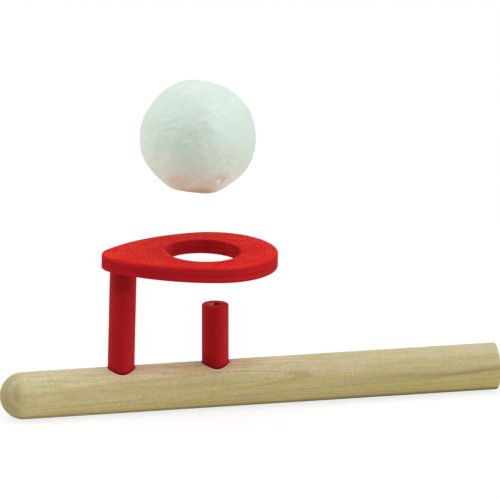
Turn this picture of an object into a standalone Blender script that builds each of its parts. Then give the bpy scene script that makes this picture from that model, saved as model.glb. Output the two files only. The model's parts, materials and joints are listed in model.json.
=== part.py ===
"""Floating ball game: a wooden blow pipe with an upright nozzle, a teardrop hoop plate on a post,
and a foam ball that floats on the jet of air above the hoop. Metres, +Z up.

The origin is on the pipe's axis, in the middle of the grip between the nozzle and the mouth end.
+X points along the pipe to the mouth end. The toy is symmetrical about the plane Y = 0."""

import math

import bmesh
import bpy
from mathutils import Matrix, Vector

# Blow pipe: a dowel with a domed closed end, drilled from the mouth end to just past the nozzle
PIPE_DIAMETER = 0.016
MOUTH_TO_NOZZLE = 0.0975
NOZZLE_TO_POST = 0.0325
NOZZLE_TO_DOME_TIP = 0.0741
MOUTH_EASING = 0.0004
BORE_DIAMETER = 0.008
BORE_PAST_NOZZLE = 0.005
DRILL_POINT_ANGLE = 118

# Nozzle and post: two lengths of the same dowel, heights above the pipe's axis
DOWEL_DIAMETER = 0.0091
DOWEL_EASING = 0.0003
NOZZLE_TOP = 0.0282
NOZZLE_SOCKET_FLOOR = 0.003
NOZZLE_HOLE_DIAMETER = 0.003
POST_LEAN = 1.5
POST_SOCKET_DEPTH = 0.0073

# Hoop plate: a teardrop of four arcs, heights above the post's foot along the leaning post
PLATE_TOP = 0.0402
PLATE_THICKNESS = 0.0051
PLATE_NARROW_RADIUS = 0.0074
PLATE_WIDE_RADIUS = 0.02175
PLATE_SIDE_RADIUS = 0.0562
PLATE_ARC_SPACING = 0.0310
PLATE_EASING = 0.0006
PLATE_SOCKET_DEPTH = 0.003
HOOP_HOLE_DIAMETER = 0.025
HOOP_HOLE_FROM_POST = 0.0274

# Ball, where the jet holds it up: a little on the post's side of the nozzle
BALL_DIAMETER = 0.0387
BALL_HEIGHT = 0.08745
BALL_FROM_NOZZLE = -0.00586

# Clearance where a dowel sits in its socket, and how far a cutter runs out of the wood
FIT_GAP = 0.0003
CUT_PAST = 0.004

# Number of flat sides on the round pieces, and of steps along the arcs
PIPE_SIDES = 48
DOWEL_SIDES = 32
HOLE_SIDES = 64
BALL_SIDES = 48
DOME_STEPS = 10
EASING_STEPS = 3
WIDE_ARC_STEPS = 36
NARROW_ARC_STEPS = 18
SIDE_ARC_STEPS = 16

PIPE_RADIUS = PIPE_DIAMETER / 2
BORE_RADIUS = BORE_DIAMETER / 2
DOWEL_RADIUS = DOWEL_DIAMETER / 2
SOCKET_RADIUS = DOWEL_RADIUS + FIT_GAP
MOUTH_X = MOUTH_TO_NOZZLE / 2
NOZZLE_X = -MOUTH_TO_NOZZLE / 2
POST_X = NOZZLE_X - NOZZLE_TO_POST
DOME_TIP_X = NOZZLE_X - NOZZLE_TO_DOME_TIP
BORE_END_X = NOZZLE_X - BORE_PAST_NOZZLE
MERGE_DISTANCE = 1e-6
SHARP_ANGLE = math.radians(35)
BEVEL_ANGLE = math.radians(50)

# Colours as the eye sees them, 0 to 255
PALE_WOOD = (206, 192, 148)
RED_PAINT = (190, 30, 33)
WHITE_FOAM = (226, 235, 227)
WOOD_ROUGHNESS = 0.55
PAINT_ROUGHNESS = 0.45
FOAM_ROUGHNESS = 0.7


def clear_scene():
    for item in list(bpy.data.objects):
        bpy.data.objects.remove(item)


def linear(channel):
    """One 0 to 255 colour channel as the linear value that a shader takes."""
    share = channel / 255
    return share / 12.92 if share <= 0.04045 else ((share + 0.055) / 1.055) ** 2.4


def finish(name, colour, roughness):
    """A plain Principled material."""
    material = bpy.data.materials.new(name)
    material.use_nodes = True
    shader = material.node_tree.nodes["Principled BSDF"]
    shader.inputs["Base Color"].default_value = (*(linear(c) for c in colour), 1)
    shader.inputs["Roughness"].default_value = roughness
    shader.inputs["Metallic"].default_value = 0
    return material


def place(bm, name, material=None, parent=None, location=(0, 0, 0)):
    """Turns a bmesh into a named object, smooth on its round sides and sharp at its edges."""
    bmesh.ops.recalc_face_normals(bm, faces=bm.faces)
    mesh = bpy.data.meshes.new(name)
    bm.to_mesh(mesh)
    bm.free()
    mesh.shade_smooth()
    mesh.set_sharp_from_angle(angle=SHARP_ANGLE)
    if material:
        mesh.materials.append(material)
    item = bpy.data.objects.new(name, mesh)
    item.parent = parent
    item.location = location
    bpy.context.scene.collection.objects.link(item)
    return item


def arc(centre, radius, start, end, steps):
    """Points along an arc from one angle to another, both ends included, angles in degrees."""
    turns = [math.radians(start + (end - start) * i / steps) for i in range(steps + 1)]
    return [(centre[0] + radius * math.cos(t), centre[1] + radius * math.sin(t)) for t in turns]


def turned(profile, sides, closed):
    """A body turned about Z from a profile of (radius, height) points. An open profile ends on the axis."""
    bm = bmesh.new()
    points = [bm.verts.new((radius, 0, height)) for radius, height in profile]
    for first, second in zip(points, points[1:]):
        bm.edges.new((first, second))
    if closed:
        bm.edges.new((points[-1], points[0]))
    line = bm.verts[:] + bm.edges[:]
    bmesh.ops.spin(
        bm, geom=line, cent=(0, 0, 0), axis=(0, 0, 1), angle=math.tau, steps=sides, use_merge=True
    )
    bmesh.ops.remove_doubles(bm, verts=bm.verts, dist=MERGE_DISTANCE)
    return bm


def cutter(name, radius, low, high, sides, parent=None, location=(0, 0, 0)):
    """An upright cylinder that only cuts: it is drawn as wire and isn't a piece of the toy."""
    bm = turned([(0, high), (radius, high), (radius, low), (0, low)], sides, closed=False)
    item = place(bm, name, parent=parent, location=location)
    item.hide_render = True
    item.display_type = "WIRE"
    return item


def cut(item, tool):
    modifier = item.modifiers.new(tool.name, "BOOLEAN")
    modifier.operation = "DIFFERENCE"
    modifier.object = tool


def make_blow_pipe():
    """Outside from the dome's tip to the mouth end, then back down the bore to the drill's point."""
    easing = MOUTH_EASING
    drill_point = BORE_RADIUS / math.tan(math.radians(DRILL_POINT_ANGLE / 2))
    dome = arc((DOME_TIP_X + PIPE_RADIUS, 0), PIPE_RADIUS, 180, 90, DOME_STEPS)
    rim = arc((MOUTH_X - easing, PIPE_RADIUS - easing), easing, 90, 0, EASING_STEPS)
    lip = arc((MOUTH_X - easing, BORE_RADIUS + easing), easing, 0, -90, EASING_STEPS)
    bore = [(BORE_END_X, BORE_RADIUS), (BORE_END_X - drill_point, 0)]
    dome[0] = (DOME_TIP_X, 0)
    along_pipe = dome + rim + lip + bore
    bm = turned([(radius, x) for x, radius in along_pipe], PIPE_SIDES, closed=False)
    bmesh.ops.rotate(bm, verts=bm.verts, matrix=Matrix.Rotation(math.pi / 2, 3, "Y"))
    pipe = place(bm, "blow_pipe", finish("pipe_wood", PALE_WOOD, WOOD_ROUGHNESS))
    socket_top = PIPE_RADIUS + CUT_PAST
    cut(pipe, cutter("nozzle_socket", SOCKET_RADIUS, NOZZLE_SOCKET_FLOOR, socket_top, DOWEL_SIDES,
                     location=(NOZZLE_X, 0, 0)))
    return pipe


def make_nozzle():
    """A dowel with an air hole along its axis. Its foot stands on the socket's ledges, over the bore."""
    foot = NOZZLE_SOCKET_FLOOR + FIT_GAP
    easing = DOWEL_EASING
    hole = NOZZLE_HOLE_DIAMETER / 2
    lip = arc((hole + easing, NOZZLE_TOP - easing), easing, 180, 90, EASING_STEPS)
    rim = arc((DOWEL_RADIUS - easing, NOZZLE_TOP - easing), easing, 90, 0, EASING_STEPS)
    profile = [(hole, foot)] + lip + rim + [(DOWEL_RADIUS, foot)]
    bm = turned(profile, DOWEL_SIDES, closed=True)
    paint = finish("nozzle_paint", RED_PAINT, PAINT_ROUGHNESS)
    return place(bm, "nozzle", paint, location=(NOZZLE_X, 0, 0))


def make_post_foot():
    """The point on top of the pipe where the post stands, turned by the post's lean to the mouth end."""
    foot = bpy.data.objects.new("post_foot", None)
    foot.location = (POST_X, 0, PIPE_RADIUS)
    foot.rotation_euler = (0, math.radians(POST_LEAN), 0)
    bpy.context.scene.collection.objects.link(foot)
    return foot


def make_post(foot, pipe):
    """A dowel from its blind socket in the pipe to its blind socket in the hoop plate."""
    low = FIT_GAP - POST_SOCKET_DEPTH
    high = PLATE_TOP - PLATE_THICKNESS + PLATE_SOCKET_DEPTH - FIT_GAP
    profile = [(0, high), (DOWEL_RADIUS, high), (DOWEL_RADIUS, low), (0, low)]
    cut(pipe, cutter("post_socket", SOCKET_RADIUS, -POST_SOCKET_DEPTH, CUT_PAST, DOWEL_SIDES, parent=foot))
    bm = turned(profile, DOWEL_SIDES, closed=False)
    return place(bm, "post", finish("post_paint", RED_PAINT, PAINT_ROUGHNESS), parent=foot)


def teardrop():
    """The plate's outline about the post's axis: a narrow arc round the post, a wide arc round the hole,
    and on each side a flat arc that runs smoothly into both."""
    to_narrow = PLATE_SIDE_RADIUS - PLATE_NARROW_RADIUS
    to_wide = PLATE_SIDE_RADIUS - PLATE_WIDE_RADIUS
    side_x = (to_narrow**2 - to_wide**2 + PLATE_ARC_SPACING**2) / (2 * PLATE_ARC_SPACING)
    side_y = math.sqrt(to_narrow**2 - side_x**2)
    at_narrow = math.degrees(math.atan2(side_y, -side_x))
    at_wide = math.degrees(math.atan2(side_y, PLATE_ARC_SPACING - side_x))
    wide = arc((PLATE_ARC_SPACING, 0), PLATE_WIDE_RADIUS, -at_wide, at_wide, WIDE_ARC_STEPS)
    upper = arc((side_x, -side_y), PLATE_SIDE_RADIUS, at_wide, at_narrow, SIDE_ARC_STEPS)
    narrow = arc((0, 0), PLATE_NARROW_RADIUS, at_narrow, 360 - at_narrow, NARROW_ARC_STEPS)
    lower = arc((side_x, side_y), PLATE_SIDE_RADIUS, -at_narrow, -at_wide, SIDE_ARC_STEPS)
    return wide[:-1] + upper[:-1] + narrow[:-1] + lower[:-1]


def make_hoop_plate(foot):
    """The teardrop with its round hole and eased edges, and a blind socket for the post underneath."""
    bm = bmesh.new()
    face = bm.faces.new([bm.verts.new((x, y, -PLATE_THICKNESS)) for x, y in teardrop()])
    lifted = bmesh.ops.extrude_face_region(bm, geom=[face])["geom"]
    top = [part for part in lifted if isinstance(part, bmesh.types.BMVert)]
    bmesh.ops.translate(bm, verts=top, vec=Vector((0, 0, PLATE_THICKNESS)))
    paint = finish("plate_paint", RED_PAINT, PAINT_ROUGHNESS)
    plate = place(bm, "hoop_plate", paint, foot, (0, 0, PLATE_TOP))
    below = -PLATE_THICKNESS - CUT_PAST
    cut(plate, cutter("hoop_hole", HOOP_HOLE_DIAMETER / 2, below, CUT_PAST, HOLE_SIDES,
                      parent=plate, location=(HOOP_HOLE_FROM_POST, 0, 0)))
    easing = plate.modifiers.new("eased_edges", "BEVEL")
    easing.width = PLATE_EASING
    easing.segments = EASING_STEPS
    easing.limit_method = "ANGLE"
    easing.angle_limit = BEVEL_ANGLE
    socket_end = PLATE_SOCKET_DEPTH - PLATE_THICKNESS
    cut(plate, cutter("plate_socket", SOCKET_RADIUS, below, socket_end, DOWEL_SIDES, parent=plate))
    return plate


def make_ball():
    """The ball's origin is its centre, which travels along the line of the jet."""
    bm = bmesh.new()
    bmesh.ops.create_uvsphere(bm, u_segments=BALL_SIDES, v_segments=BALL_SIDES // 2, radius=BALL_DIAMETER / 2)
    centre = (NOZZLE_X + BALL_FROM_NOZZLE, 0, BALL_HEIGHT)
    return place(bm, "ball", finish("ball_foam", WHITE_FOAM, FOAM_ROUGHNESS), location=centre)


def print_ball_travel(foot, ball):
    """The line from the ball's seat in the hoop up to where it floats, and how far the ball drops."""
    reach = BALL_DIAMETER / 2 + PLATE_EASING + FIT_GAP
    rim_circle = HOOP_HOLE_DIAMETER / 2 + PLATE_EASING
    seat_height = PLATE_TOP - PLATE_EASING + math.sqrt(reach**2 - rim_circle**2)
    bpy.context.view_layer.update()
    seat = foot.matrix_world @ Vector((HOOP_HOLE_FROM_POST, 0, seat_height))
    rise = ball.location - seat
    print("ball centre", [round(v, 5) for v in ball.location])
    print("ball seat", [round(v, 5) for v in seat])
    print("jet direction", [round(v, 4) for v in rise.normalized()], "drop", round(rise.length, 5))


def main():
    clear_scene()
    pipe = make_blow_pipe()
    make_nozzle()
    foot = make_post_foot()
    make_post(foot, pipe)
    make_hoop_plate(foot)
    ball = make_ball()
    print_ball_travel(foot, ball)


main()
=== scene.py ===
# %% [markdown]
# # Floating ball game
# A wooden blow pipe with a red nozzle, a red hoop plate on a post, and a foam ball that floats on the
# player's breath. The CAD model fixes every size and place, so the lesson starts by loading it as a frame.
# What follows adds the smooth skins and the finishes that the CAD model leaves out.

# %% Load the frame
import json
import math
from functools import partial

import bmesh
import bpy
from mathutils import Matrix, Vector


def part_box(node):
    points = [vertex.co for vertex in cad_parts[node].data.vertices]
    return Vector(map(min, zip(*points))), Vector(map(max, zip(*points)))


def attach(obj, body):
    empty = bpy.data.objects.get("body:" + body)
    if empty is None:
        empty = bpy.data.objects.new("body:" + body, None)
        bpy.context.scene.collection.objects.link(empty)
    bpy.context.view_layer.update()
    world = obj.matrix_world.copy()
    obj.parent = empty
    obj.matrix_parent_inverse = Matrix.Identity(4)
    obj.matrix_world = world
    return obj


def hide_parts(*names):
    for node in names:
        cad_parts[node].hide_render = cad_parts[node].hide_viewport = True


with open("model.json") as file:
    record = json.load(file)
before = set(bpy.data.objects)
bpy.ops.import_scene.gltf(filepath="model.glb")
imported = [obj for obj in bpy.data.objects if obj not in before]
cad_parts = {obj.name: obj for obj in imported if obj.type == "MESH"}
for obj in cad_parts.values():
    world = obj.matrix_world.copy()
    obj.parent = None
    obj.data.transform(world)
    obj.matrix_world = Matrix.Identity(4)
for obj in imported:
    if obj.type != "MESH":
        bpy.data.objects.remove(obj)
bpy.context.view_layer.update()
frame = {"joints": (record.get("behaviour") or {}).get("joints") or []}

# %% [markdown]
# ## Sizes from the frame
# The frame gives the box of each CAD piece, and most sizes can be read from those boxes: an upright dowel's
# box is as wide as the dowel. Only what a box can't tell, such as the slight lean of the post, is written
# here as a number. Reading sizes keeps the looks and the CAD model in step.

# %% Sizes from the frame
MM = 0.001
POST_LEAN = math.radians(1.5)

pipe_low, pipe_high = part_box("blow_pipe")
nozzle_low, nozzle_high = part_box("nozzle")
post_low, post_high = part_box("post")
ball_low, ball_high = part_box("ball")

pipe_radius = (pipe_high.z - pipe_low.z) / 2
dowel_radius = (nozzle_high.x - nozzle_low.x) / 2
ball_radius = (ball_high.z - ball_low.z) / 2
ball_centre = (ball_low + ball_high) / 2
nozzle_x = (nozzle_low.x + nozzle_high.x) / 2
post_middle = (post_low + post_high) / 2
post_x = post_middle.x - math.tan(POST_LEAN) * (post_middle.z - pipe_radius)
post_foot = Vector((post_x, 0, pipe_radius))
leaning = Matrix.Translation(post_foot) @ Matrix.Rotation(POST_LEAN, 4, "Y")
print("pipe, dowel and ball across, mm:",
      [round(2 * r / MM, 2) for r in (pipe_radius, dowel_radius, ball_radius)])

# %% [markdown]
# ## Camera
# The photograph was taken from slightly above with hardly any perspective, as with a long lens from a few
# metres away. The lens, the two angles and one point's place in the picture are enough to rebuild that view:
# the point is where the nozzle's axis meets the pipe's axis. The camera is placed by plain vectors, which
# later also find the side of the ball that the photograph shows.

# %% Camera
PICTURE = 500
LENS, SENSOR = 720.0, 36.0
VIEW_TURN, VIEW_RISE = math.radians(11.586), math.radians(17.272)
PIXELS_PER_METRE = 2950.0
ANCHOR_PIXEL = (215.294, 383.489)


def put(name, data):
    """A new object in the scene, made of that data."""
    thing = bpy.data.objects.new(name, data)
    bpy.context.scene.collection.objects.link(thing)
    return thing


level_ahead = Vector((math.sin(VIEW_TURN), math.cos(VIEW_TURN), 0))
right = Vector((math.cos(VIEW_TURN), -math.sin(VIEW_TURN), 0))
up = level_ahead * math.sin(VIEW_RISE) + Vector((0, 0, math.cos(VIEW_RISE)))
ahead = level_ahead * math.cos(VIEW_RISE) - Vector((0, 0, math.sin(VIEW_RISE)))

anchor = Vector((nozzle_x, 0, 0))
distance = LENS / SENSOR * PICTURE / PIXELS_PER_METRE
aside = right * (PICTURE / 2 - ANCHOR_PIXEL[0]) + up * (ANCHOR_PIXEL[1] - PICTURE / 2)

lens = bpy.data.cameras.new("studio_camera")
lens.lens, lens.sensor_width, lens.clip_end = LENS, SENSOR, 50.0
camera = put("studio_camera", lens)
turn = Matrix((right, up, -ahead)).transposed().to_4x4()
camera.matrix_world = Matrix.Translation(anchor + aside / PIXELS_PER_METRE - ahead * distance) @ turn
bpy.context.scene.camera = camera
bpy.context.scene.view_settings.view_transform = "Standard"
print("camera stands", round(distance, 2), "m away")

# %% [markdown]
# ## Wires: node maths as plain Python
# Every finish below is a web of nodes. Wiring each one by hand hides the idea behind it, so one small class
# wraps a socket: a sum of two wires adds a Math node, and `node` adds any other kind of node. The same
# class serves materials and Geometry Nodes, which share their Math and texture nodes.

# %% Wires
class Wire:
    """One output socket of a node tree. Sums and products of wires add Math nodes to that tree."""

    def __init__(self, tree, socket=None):
        self.tree, self.socket = tree, socket

    @staticmethod
    def find(sockets, key):
        """A socket by its identifier, else by its name or number."""
        return next((s for s in sockets if s.identifier == key), None) or sockets[key]

    def node(self, kind, settings=None, sockets=None, out=0):
        """Adds a node: first its settings, then the values or links of its sockets."""
        node = self.tree.nodes.new(kind)
        for name, value in (settings or {}).items():
            setattr(node, name, value)
        for key, value in (sockets or {}).items():
            socket = self.find(node.inputs, key)
            if isinstance(value, Wire):
                self.tree.links.new(value.socket, socket)
            else:
                socket.default_value = value
        return None if out is None else Wire(self.tree, self.find(node.outputs, out))

    def math(self, operation, *values):
        """Adds a Math node."""
        return self.node("ShaderNodeMath", {"operation": operation}, dict(enumerate(values)))

    def vector(self, operation, *values, **named):
        """Adds a Vector Math node."""
        sockets = {**dict(enumerate(values)), **named}
        return self.node("ShaderNodeVectorMath", {"operation": operation}, sockets)

    def __add__(self, other):
        return self.math("ADD", self, other)

    def __sub__(self, other):
        return self.math("SUBTRACT", self, other)

    def __rsub__(self, other):
        return self.math("SUBTRACT", other, self)

    def __mul__(self, other):
        return self.math("MULTIPLY", self, other)

    def __truediv__(self, other):
        return self.math("DIVIDE", self, other)

    def __rtruediv__(self, other):
        return self.math("DIVIDE", other, self)

    __radd__, __rmul__ = __add__, __mul__


print("wires ready")

# %% [markdown]
# ## Helpers for finishes
# A few ideas cover every finish. `fade` turns a number into a soft-edged mask, and `about` does so on
# both sides of a middle value. `blots` is random grey in blots of a stated size in metres: drawn out along an
# axis, they become wood fibres. `glazed` lays colours over each other through masks, as a painter lays thin
# coats, and `close_finish` feeds the result to one Principled shader.

# %% Helpers for finishes
def screen_colour(red, green, blue):
    """A colour as a screen shows it, 0 to 255, as the linear light that a shader takes."""
    shares = (red / 255, green / 255, blue / 255)
    return *(s / 12.92 if s <= 0.04045 else ((s + 0.055) / 1.055) ** 2.4 for s in shares), 1.0


def fade(value, start, end):
    """0 on the start's side and 1 on the end's side, with a soft run between; either may be the larger."""
    return value.node("ShaderNodeMapRange", {"interpolation_type": "SMOOTHSTEP"},
                      {"Value": value, "From Min": start, "From Max": end}, "Result")


def about(value, middle, start, end):
    """A mask by the distance from a middle value: 0 beyond start and 1 within end."""
    return fade(value.math("ABSOLUTE", value - middle), start, end)


def blots(where, size, stretch=(1, 1, 1), seed=0.0, detail=2.0):
    """Random grey about 0.5, in blots of that size in metres, drawn out along each axis by its stretch."""
    scale = [1 / (size * s) for s in stretch]
    place = where.vector("MULTIPLY_ADD", where, scale, (seed, seed, seed))
    return where.node("ShaderNodeTexNoise", {"noise_dimensions": "3D"},
                      {"Vector": place, "Scale": 1.0, "Detail": detail}, "Fac")


def tint(mask, under, over):
    """One colour or wire where the mask is 0, another where it is 1."""
    return mask.node("ShaderNodeMix", {"data_type": "RGBA"},
                     {"Factor_Float": mask, "A_Color": under, "B_Color": over}, "Result_Color")


def glazed(colour, *coats):
    """Lays thin coats over a colour, one after the other: each is a mask and a screen colour."""
    for mask, *screen in coats:
        colour = tint(mask, colour, screen_colour(*screen))
    return colour


def split(where):
    """The x, y and z of a vector, as three wires."""
    parts = where.node("ShaderNodeSeparateXYZ", None, {"Vector": where})
    return [Wire(where.tree, socket) for socket in parts.socket.node.outputs]


def emptied(owner):
    """The node tree of a new material or world, with nothing in it yet."""
    owner.use_nodes = True
    owner.node_tree.nodes.clear()
    return Wire(owner.node_tree)


def open_finish(name, centre=(0, 0, 0), turn=(0, 0, 0)):
    """A new material and its Object coordinates, measured from a centre and turned with the piece."""
    material = bpy.data.materials.new(name)
    objects = emptied(material).node("ShaderNodeTexCoord", out="Object")
    where = objects.node("ShaderNodeMapping", {"vector_type": "TEXTURE"},
                         {"Vector": objects, "Location": centre, "Rotation": turn})
    return material, where


def close_finish(where, colour, roughness, height, depth, constants):
    """One Principled shader; height is a wire and depth its full relief in metres."""
    normal = where.node("ShaderNodeBump", None, {"Height": height, "Distance": depth, "Strength": 1.0})
    shader = where.node("ShaderNodeBsdfPrincipled", None,
                        {"Base Color": colour, "Roughness": roughness, "Normal": normal, **constants})
    where.node("ShaderNodeOutputMaterial", None, {"Surface": shader}, None)


print("finish helpers ready")

# %% [markdown]
# ## White floor and background
# The toy lies on a plain white table in soft light. A floor that is only lit by lamps turns grey towards its
# edges, so for the camera it glows a little by itself and takes the rest of its white from the lamps: that
# keeps the toy's soft shadow. Light Path tells which rays come from the camera or from a shiny surface. All
# other rays meet a plain white floor, which throws soft light back up at the toy.

# %% White floor and background
FLOOR_SIDE = 12.0
FLOOR_WHITE = (0.86, 0.86, 0.86, 1.0)
GLOW, LIT_SHARE = 0.80, 0.25
FILL = 0.24


def seen_directly(tree):
    """1 for rays from the camera, a reflection or a clear surface, else 0."""
    path = tree.node("ShaderNodeLightPath").socket.node.outputs
    seen = [Wire(tree.tree, path[name]) for name in
            ("Is Camera Ray", "Is Glossy Ray", "Is Transmission Ray")]
    return tree.math("MAXIMUM", tree.math("MAXIMUM", seen[0], seen[1]), seen[2])


corners = [(x * FLOOR_SIDE / 2, y * FLOOR_SIDE / 2, pipe_low.z)
           for x, y in ((-1, -1), (1, -1), (1, 1), (-1, 1))]
floor_mesh = bpy.data.meshes.new("white_floor")
floor_mesh.from_pydata(corners, [], [(0, 1, 2, 3)])
floor = put("white_floor", floor_mesh)

floor_finish = bpy.data.materials.new("white_floor")
sheet = emptied(floor_finish)
plain = sheet.node("ShaderNodeBsdfDiffuse", None, {"Color": FLOOR_WHITE})
shown = sheet.node("ShaderNodeBsdfDiffuse", None, {"Color": (LIT_SHARE, LIT_SHARE, LIT_SHARE, 1)})
glow = sheet.node("ShaderNodeEmission", None, {"Color": (1, 1, 1, 1), "Strength": GLOW})
shown = sheet.node("ShaderNodeAddShader", None, {0: shown, 1: glow})
both = sheet.node("ShaderNodeMixShader", None, {"Fac": seen_directly(sheet), 1: plain, 2: shown})
sheet.node("ShaderNodeOutputMaterial", None, {"Surface": both}, None)
floor_mesh.materials.append(floor_finish)

world = bpy.data.worlds.new("white_room")
bpy.context.scene.world = world
sky = emptied(world)
strength = FILL + (1 - FILL) * seen_directly(sky)
air = sky.node("ShaderNodeBackground", None, {"Color": (1, 1, 1, 1), "Strength": strength})
sky.node("ShaderNodeOutputWorld", None, {"Surface": air}, None)
print("floor at", round(pipe_low.z / MM, 1), "mm, fill light", FILL)

# %% [markdown]
# ## Lamps
# The photograph's light is soft and comes mostly from above. The upright dowels are darkest a little left of
# their middle and brighten to both sides, more on the right, so there is a soft lamp on each side, the right
# one stronger. Area lamps a metre across give shadows without hard edges, and their power lets a surface that
# faces up show the colour written for it.

# %% Lamps
AIM = Vector((-0.04, 0, 0.05))
LAMPS = {
    "top_lamp": (Vector((-0.05, -0.15, 1.27)), 1.6, 12.7),
    "right_lamp": (Vector((1.25, -0.40, 0.36)), 0.9, 7.6),
    "left_lamp": (Vector((-1.2, 0.45, 0.40)), 0.9, 5.9),
}

for name, (place, side, watts) in LAMPS.items():
    lamp = bpy.data.lights.new(name, "AREA")
    lamp.size, lamp.energy = side, watts
    stand = put(name, lamp)
    stand.location = place
    stand.rotation_euler = (AIM - place).to_track_quat("-Z", "Y").to_euler()
    stand.visible_camera = False
print(len(LAMPS), "lamps,", sum(watts for _, _, watts in LAMPS.values()), "W together")

# %% [markdown]
# ## Turning: one Geometry Nodes tree for three pieces
# The pipe, the nozzle and the post all come off a lathe: a profile turned about an axis. The Screw modifier
# could do that, but a node tree shows the rule itself. A flat grid gets one row for each profile point and
# one column for each side. Each grid point looks up its row's radius and height and goes to its column's
# angle round the axis. Merging by distance closes the seam and the poles.

# %% Turning
def open_tree(name, inputs):
    """A Geometry Nodes tree with named inputs, which come back as wires."""
    tree = bpy.data.node_groups.new(name, "GeometryNodeTree")
    tree.interface.new_socket("Geometry", in_out="OUTPUT", socket_type="NodeSocketGeometry")
    for label, kind in inputs.items():
        tree.interface.new_socket(label, in_out="INPUT", socket_type="NodeSocket" + kind)
    sockets = tree.nodes.new("NodeGroupInput").outputs
    return tree, {label: Wire(tree, sockets[label]) for label in inputs}


def close_tree(shape, material):
    """Ends a tree: welds what lies together, makes it real geometry and gives it its finish."""
    welded = shape.node("GeometryNodeMergeByDistance", None, {"Geometry": shape, "Distance": 0.001 * MM})
    real = shape.node("GeometryNodeRealizeInstances", None, {"Geometry": welded})
    finished = shape.node("GeometryNodeSetMaterial", None, {"Geometry": real, "Material": material})
    shape.node("NodeGroupOutput", None, {"Geometry": finished}, None)


turning, given = open_tree("turning", {"Geometry": "Geometry", "Sides": "Int", "Material": "Material"})
profile, columns = given["Geometry"], given["Sides"] + 1
rows = profile.node("GeometryNodeAttributeDomainSize", {"component": "MESH"}, {"Geometry": profile})
sheet_of_points = profile.node("GeometryNodeMeshGrid", None, {"Vertices X": rows, "Vertices Y": columns})
index = profile.node("GeometryNodeInputIndex")
row = index.math("FLOOR", index / columns)
angle = (index - row * columns) / given["Sides"] * math.tau
looked_up = profile.node("GeometryNodeSampleIndex", {"data_type": "FLOAT_VECTOR", "domain": "POINT"},
                         {"Geometry": profile, "Value": profile.node("GeometryNodeInputPosition"),
                          "Index": row})
radius, _, height = split(looked_up)
turned_place = profile.node("ShaderNodeCombineXYZ", None, {
    "X": radius * angle.math("COSINE", angle), "Y": radius * angle.math("SINE", angle), "Z": height})
close_tree(profile.node("GeometryNodeSetPosition", None,
                        {"Geometry": sheet_of_points, "Position": turned_place}), given["Material"])
print("turning tree:", len(turning.nodes), "nodes")

# %% [markdown]
# ## From a tree to a piece
# A modifier stays live until it is applied. The export wants plain meshes that sit at the origin, so each
# piece is evaluated once, welded, given outward normals, and kept as a new object. Edges sharper than 40
# degrees stay crisp, and everything else is shaded smooth.

# %% From a tree to a piece
CRISP = math.radians(40)
DOWEL_SIDES, PIPE_SIDES = 96, 160


def add_tree(draft, tree, values):
    """Puts a node tree on an object, with its inputs set by their identifiers."""
    step = draft.modifiers.new(tree.name, "NODES")
    step.node_group = tree
    for socket in tree.interface.items_tree:
        if socket.in_out == "INPUT" and socket.name in values:
            step[socket.identifier] = values[socket.name]


def draft_from(name, points, faces=()):
    """A new object with a mesh of these points and faces."""
    mesh = bpy.data.meshes.new(name)
    mesh.from_pydata(points, [], faces)
    return put(name, mesh)


def keep_piece(draft, name, place=Matrix.Identity(4)):
    """The draft's final shape as a plain mesh object at the origin, with its place in its points."""
    graph = bpy.context.evaluated_depsgraph_get()
    mesh = bpy.data.meshes.new_from_object(draft.evaluated_get(graph), preserve_all_data_layers=True,
                                           depsgraph=graph)
    bpy.data.objects.remove(draft)
    mesh.transform(place)
    skin = bmesh.new()
    skin.from_mesh(mesh)
    bmesh.ops.remove_doubles(skin, verts=skin.verts, dist=0.001 * MM)
    bmesh.ops.recalc_face_normals(skin, faces=skin.faces)
    open_edges = sum(not edge.is_manifold for edge in skin.edges)
    skin.to_mesh(mesh)
    skin.free()
    mesh.shade_smooth()
    mesh.set_sharp_from_angle(angle=CRISP)
    mesh.name = name
    piece = put(name, mesh)
    mesh.calc_loop_triangles()
    print(name, "-", len(mesh.loop_triangles), "triangles,", open_edges, "open edges")
    return piece


def arc(middle, size, start, end, steps):
    """Points (x, y) on an arc from one angle to another, both ends included, angles in degrees."""
    turns = [math.radians(start + (end - start) * i / steps) for i in range(steps + 1)]
    return [(middle[0] + size * math.cos(t), middle[1] + size * math.sin(t)) for t in turns]


def turned_draft(name, outline, sides, material):
    """A draft turned from (radius, height) points."""
    draft = draft_from(name, [(r, 0, h) for r, h in outline])
    add_tree(draft, turning, {"Sides": sides, "Material": material})
    return draft


def drill(draft, name, radius, low, high, place):
    """Cuts a round hole along the place's own upright axis, from low to high; returns the drill."""
    outline = [(0, low), (radius, low), (radius, high), (0, high)]
    bit = keep_piece(turned_draft(name, outline, DOWEL_SIDES, None), name, place)
    cut = draft.modifiers.new(name, "BOOLEAN")
    cut.operation, cut.solver, cut.object = "DIFFERENCE", "EXACT", bit
    return bit


print("piece helpers ready")

# %% [markdown]
# ## Pale turned wood
# The pipe is a bare softwood dowel. Its flame figure comes from growth rings: nearly flat layers that climb
# slowly through the dowel, so that the round surface cuts each one in a long pointed arch. A wood picture
# would slide off the dome and the end, so the rings are a rule in space: how deep a point lies in the tree.

# %% Pale turned wood
RINGS_FACE = math.radians(24.3)
RING_WIDTH, RING_RADIUS = 1.2 * MM, 45 * MM
ARCH_TIP = nozzle_x + 30.6 * MM
ARCH_CLIMB, ARCH_EASING = 0.017, 0.0375
LINE_WIDTH, LINE_SPREAD = 0.09, 0.16

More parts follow.
